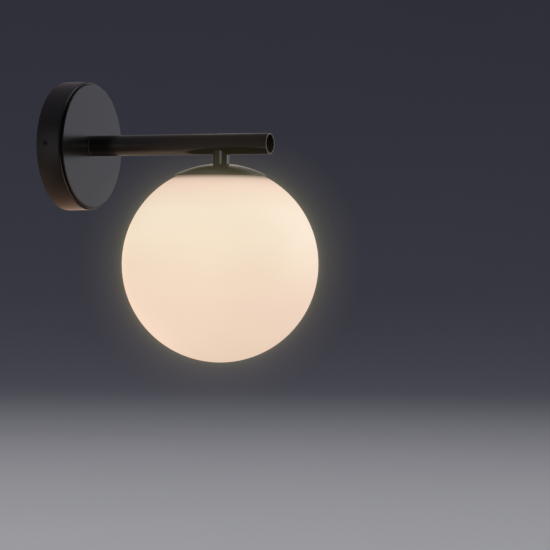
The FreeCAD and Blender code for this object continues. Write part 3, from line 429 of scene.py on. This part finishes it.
def glossy_wall():
    """A wall that only reflections see, with a hole where the canopy stands. Its light is painted emission: a soft glow
    round the globe with painted light and shade patches over it.
    """
    me = bpy.data.meshes.new("reflected_wall")
    bm = bmesh.new()
    seg = 128
    radii = [0.0507, 0.06, 0.08, 0.11, 0.16, 0.25, 0.45, 0.9, 2.5]
    rings = [[bm.verts.new((r * math.cos(2 * math.pi * k / seg), 0.0006, r * math.sin(2 * math.pi * k / seg)))
              for k in range(seg)] for r in radii]
    for lo, hi in zip(rings, rings[1:]):
        for k in range(seg):
            n = (k + 1) % seg
            bm.faces.new((lo[k], hi[k], hi[n], lo[n]))
    bm.to_mesh(me)
    bm.free()
    ob = bpy.data.objects.new("reflected_wall", me)
    scene.collection.objects.link(ob)
    mt = bpy.data.materials.new("reflected_wall")
    mt.use_nodes = True
    nt = mt.node_tree
    for n in list(nt.nodes):
        nt.nodes.remove(n)
    o = nt.nodes.new("ShaderNodeOutputMaterial")
    e = nt.nodes.new("ShaderNodeEmission")
    tc = nt.nodes.new("ShaderNodeTexCoord")

    def spread(centre, stops):
        """A colour that depends on the distance from one point of the wall."""
        d = nt.nodes.new("ShaderNodeVectorMath")
        d.operation = "DISTANCE"
        d.inputs[1].default_value = centre
        nt.links.new(tc.outputs["Object"], d.inputs[0])
        k = nt.nodes.new("ShaderNodeValToRGB")
        els = k.color_ramp.elements
        while len(els) < len(stops):
            els.new(0.5)
        for el_, (pos, c) in zip(els, stops):
            el_.position = pos
            el_.color = (*c, 1.0) if len(c) == 3 else (c[0], c[0], c[0], 1.0)
        nt.links.new(d.outputs["Value"], k.inputs["Fac"])
        return k.outputs["Color"]

    def over(fac, low, high):
        x = nt.nodes.new("ShaderNodeMix")
        x.data_type = "RGBA"
        nt.links.new(fac, x.inputs["Factor"])
        nt.links.new(low, x.inputs["A"])
        if isinstance(high, tuple):
            x.inputs["B"].default_value = (*high, 1.0)
        else:
            nt.links.new(high, x.inputs["B"])
        return x.outputs["Result"]

    col = spread((0.0, 0.0, GLOBE.z), PAINTED_GLOBE_GLOW_ON_WALL)
    for centre, r_in, r_out, most, shade in PAINTED_WALL_LIGHT_AND_SHADE:
        col = over(spread(centre, [(r_in, (most,)), (r_out, (0.0,))]), col, shade)
    nt.links.new(col, e.inputs["Color"])
    nt.links.new(e.outputs["Emission"], o.inputs["Surface"])
    me.materials.append(mt)
    ob.visible_camera = ob.visible_diffuse = ob.visible_shadow = ob.visible_transmission = False
    return ob


# painted reflection: a warm glow painted round the globe on the reflected wall, fading with distance
PAINTED_GLOBE_GLOW_ON_WALL = [(0.0, (0.74, 0.53, 0.385)), (0.06, (0.74, 0.53, 0.38)), (0.09, (0.50, 0.36, 0.27)),
                 (0.12, (0.33, 0.255, 0.21)), (0.20, (0.215, 0.195, 0.19)), (0.9, (0.12, 0.12, 0.135))]
# painted light and shade patches on the reflected wall: centre, inner and outer radius, strength, colour
PAINTED_WALL_LIGHT_AND_SHADE = [
    ((0.015, 0.0, -0.240), 0.045, 0.125, 0.85, (1.30, 0.90, 0.62)),
    ((-0.030, 0.0, 0.062), 0.025, 0.085, 0.85, (0.165, 0.145, 0.180)),
    ((-0.085, 0.0, 0.030), 0.01, 0.075, 0.75, (0.110, 0.110, 0.125)),
    ((-0.020, 0.0, -0.064), 0.01, 0.050, 0.85, (0.58, 0.32, 0.22)),
    ((-0.080, 0.0, -0.080), 0.028, 0.078, 0.88, (0.13, 0.085, 0.07)),
    ((0.31, 0.0, 0.25), 0.05, 0.25, 0.8, (0.185, 0.178, 0.175)),
    ((-0.082, 0.0, -0.003), 0.010, 0.034, 0.72, (0.47, 0.44, 0.48)),
    ((0.165, 0.0, 0.040), 0.010, 0.055, 0.38, (0.80, 0.75, 0.63)),
    ((0.470, 0.0, 0.110), 0.030, 0.100, 0.36, (0.80, 0.75, 0.63)),
    ((0.31, 0.0, 0.055), 0.04, 0.135, 0.9, (1.02, 0.95, 0.80)),
]
glossy_wall()
ground = floor()

world = bpy.data.worlds.new("studio")
scene.world = world
world.use_nodes = True
world.node_tree.nodes["Background"].inputs["Color"].default_value = (0.045, 0.047, 0.065, 1.0)
world.node_tree.nodes["Background"].inputs["Strength"].default_value = 1.0


def group(name, objects):
    """The objects that a light falls on."""
    c = bpy.data.collections.new(name)
    for o in objects:
        c.objects.link(o)
    return c


ON_LIGHT = group("lit_light", nodes.values())
ON_FLOOR = group("lit_floor", [ground])
ON_SLIM = group("lit_slim", [nodes[n] for n in ("stem", "arm_tube", "shade_cap", "glass_globe")])
OUTER = ("canopy_cup", "face_plate", "spacer_disc", "arm_tube", "stem", "shade_cap", "glass_globe")
ON_INNER = group("lit_inner", [ob for name, ob in nodes.items() if name not in OUTER])


def area(name, loc, target, size, power, color=(1, 1, 1), size_y=None, on=ON_LIGHT):
    li = bpy.data.lights.new(name, "AREA")
    li.energy = power
    li.color = color
    li.shape = "RECTANGLE"
    li.size = size
    li.size_y = size_y or size
    ob = bpy.data.objects.new(name, li)
    scene.collection.objects.link(ob)
    ob.location = loc
    d = Vector(target) - Vector(loc)
    ob.rotation_euler = d.to_track_quat("-Z", "Y").to_euler()
    ob.visible_camera = False
    ob.light_linking.receiver_collection = on
    return ob


area("top_soft", (0.2, -0.5, 1.9), (0, -0.08, 0), 1.8, 4.0)
area("side_panel", (2.3, -1.1, 0.40), (0, -0.03, 0), 1.6, 5.6, (0.95, 0.96, 1.05))
area("over_floor", (0, 0, 6.4), (0, 0, 0), 12.0, 430.0, (0.98, 0.98, 1.0), on=ON_FLOOR)
area("strip_cam", (-1.93, -0.66, 0.05), (0, -0.133, -0.01), 0.70, 6.0, (1.0, 0.98, 0.94), 0.9, on=ON_SLIM)
area("upper_right", (0.80, -1.10, 0.95), (0, -0.133, -0.02), 0.8, 2.4, (1.0, 0.97, 0.90))
area("strip_right", (1.10, -1.80, 0.05), (0, -0.133, -0.01), 0.75, 7.0, (1.0, 0.98, 0.94), 0.9, on=ON_SLIM)

area("behind", (-0.5, 1.7, 0.9), (0, 0, 0), 1.2, 16.0, (1.0, 0.99, 0.97), on=ON_INNER)

glow = bpy.data.lights.new("globe_glow", "POINT")
glow.energy = 0.06
glow.color = (1.0, 0.74, 0.50)
glow.shadow_soft_size = 0.068
glow_ob = bpy.data.objects.new("globe_glow", glow)
glow_ob.location = GLOBE
scene.collection.objects.link(glow_ob)
glow_ob.visible_camera = False
nodes["glass_globe"].visible_shadow = False

# ---------------------------------------------------------------------------
# camera at the photograph's viewing angle
# ---------------------------------------------------------------------------
az, el, roll = math.radians(-65.99), math.radians(0.20), math.radians(0.53)
back = Vector((math.sin(az) * math.cos(el), -math.cos(az) * math.cos(el), math.sin(el)))
right = Vector((math.cos(az), math.sin(az), 0.0))
up = back.cross(right)
r2 = right * math.cos(roll) + up * math.sin(roll)
u2 = up * math.cos(roll) - right * math.sin(roll)
cam_data = bpy.data.cameras.new("camera")
cam_data.sensor_width = 36.0
cam_data.lens = 157.1
cam_data.clip_start = 0.05
cam_data.clip_end = 200.0
cam = bpy.data.objects.new("camera", cam_data)
scene.collection.objects.link(cam)
cam.matrix_world = Matrix(((r2.x, u2.x, back.x, -1.657), (r2.y, u2.y, back.y, -0.917), (r2.z, u2.z, back.z, -0.093),
                           (0, 0, 0, 1)))
scene.camera = cam

# ---------------------------------------------------------------------------
# soft bloom round the lit globe, screened over the picture
# ---------------------------------------------------------------------------
scene.use_nodes = True
ct = scene.node_tree
for n in list(ct.nodes):
    ct.nodes.remove(n)
rl = ct.nodes.new("CompositorNodeRLayers")
gl = ct.nodes.new("CompositorNodeGlare")
scr = ct.nodes.new("CompositorNodeMixRGB")
out = ct.nodes.new("CompositorNodeComposite")
gl.glare_type = "BLOOM"
gl.quality = "HIGH"
gl.inputs["Threshold"].default_value = 0.4
gl.inputs["Strength"].default_value = 0.63
gl.inputs["Size"].default_value = 0.25
gl.inputs["Tint"].default_value = (1.0, 1.19, 0.76, 1.0)
low = ct.nodes.new("CompositorNodeMixRGB")
low.blend_type = "SUBTRACT"
low.use_clamp = True
low.inputs[0].default_value = 1.0
low.inputs[2].default_value = (0.0084, 0.0088, 0.0047, 0.0)
scr.blend_type = "SCREEN"
scr.inputs[0].default_value = 1.0
ct.links.new(rl.outputs["Image"], gl.inputs["Image"])
ct.links.new(rl.outputs["Image"], scr.inputs[1])
ct.links.new(gl.outputs["Glare"], low.inputs[1])
ct.links.new(low.outputs["Image"], scr.inputs[2])
ct.links.new(scr.outputs["Image"], out.inputs["Image"])
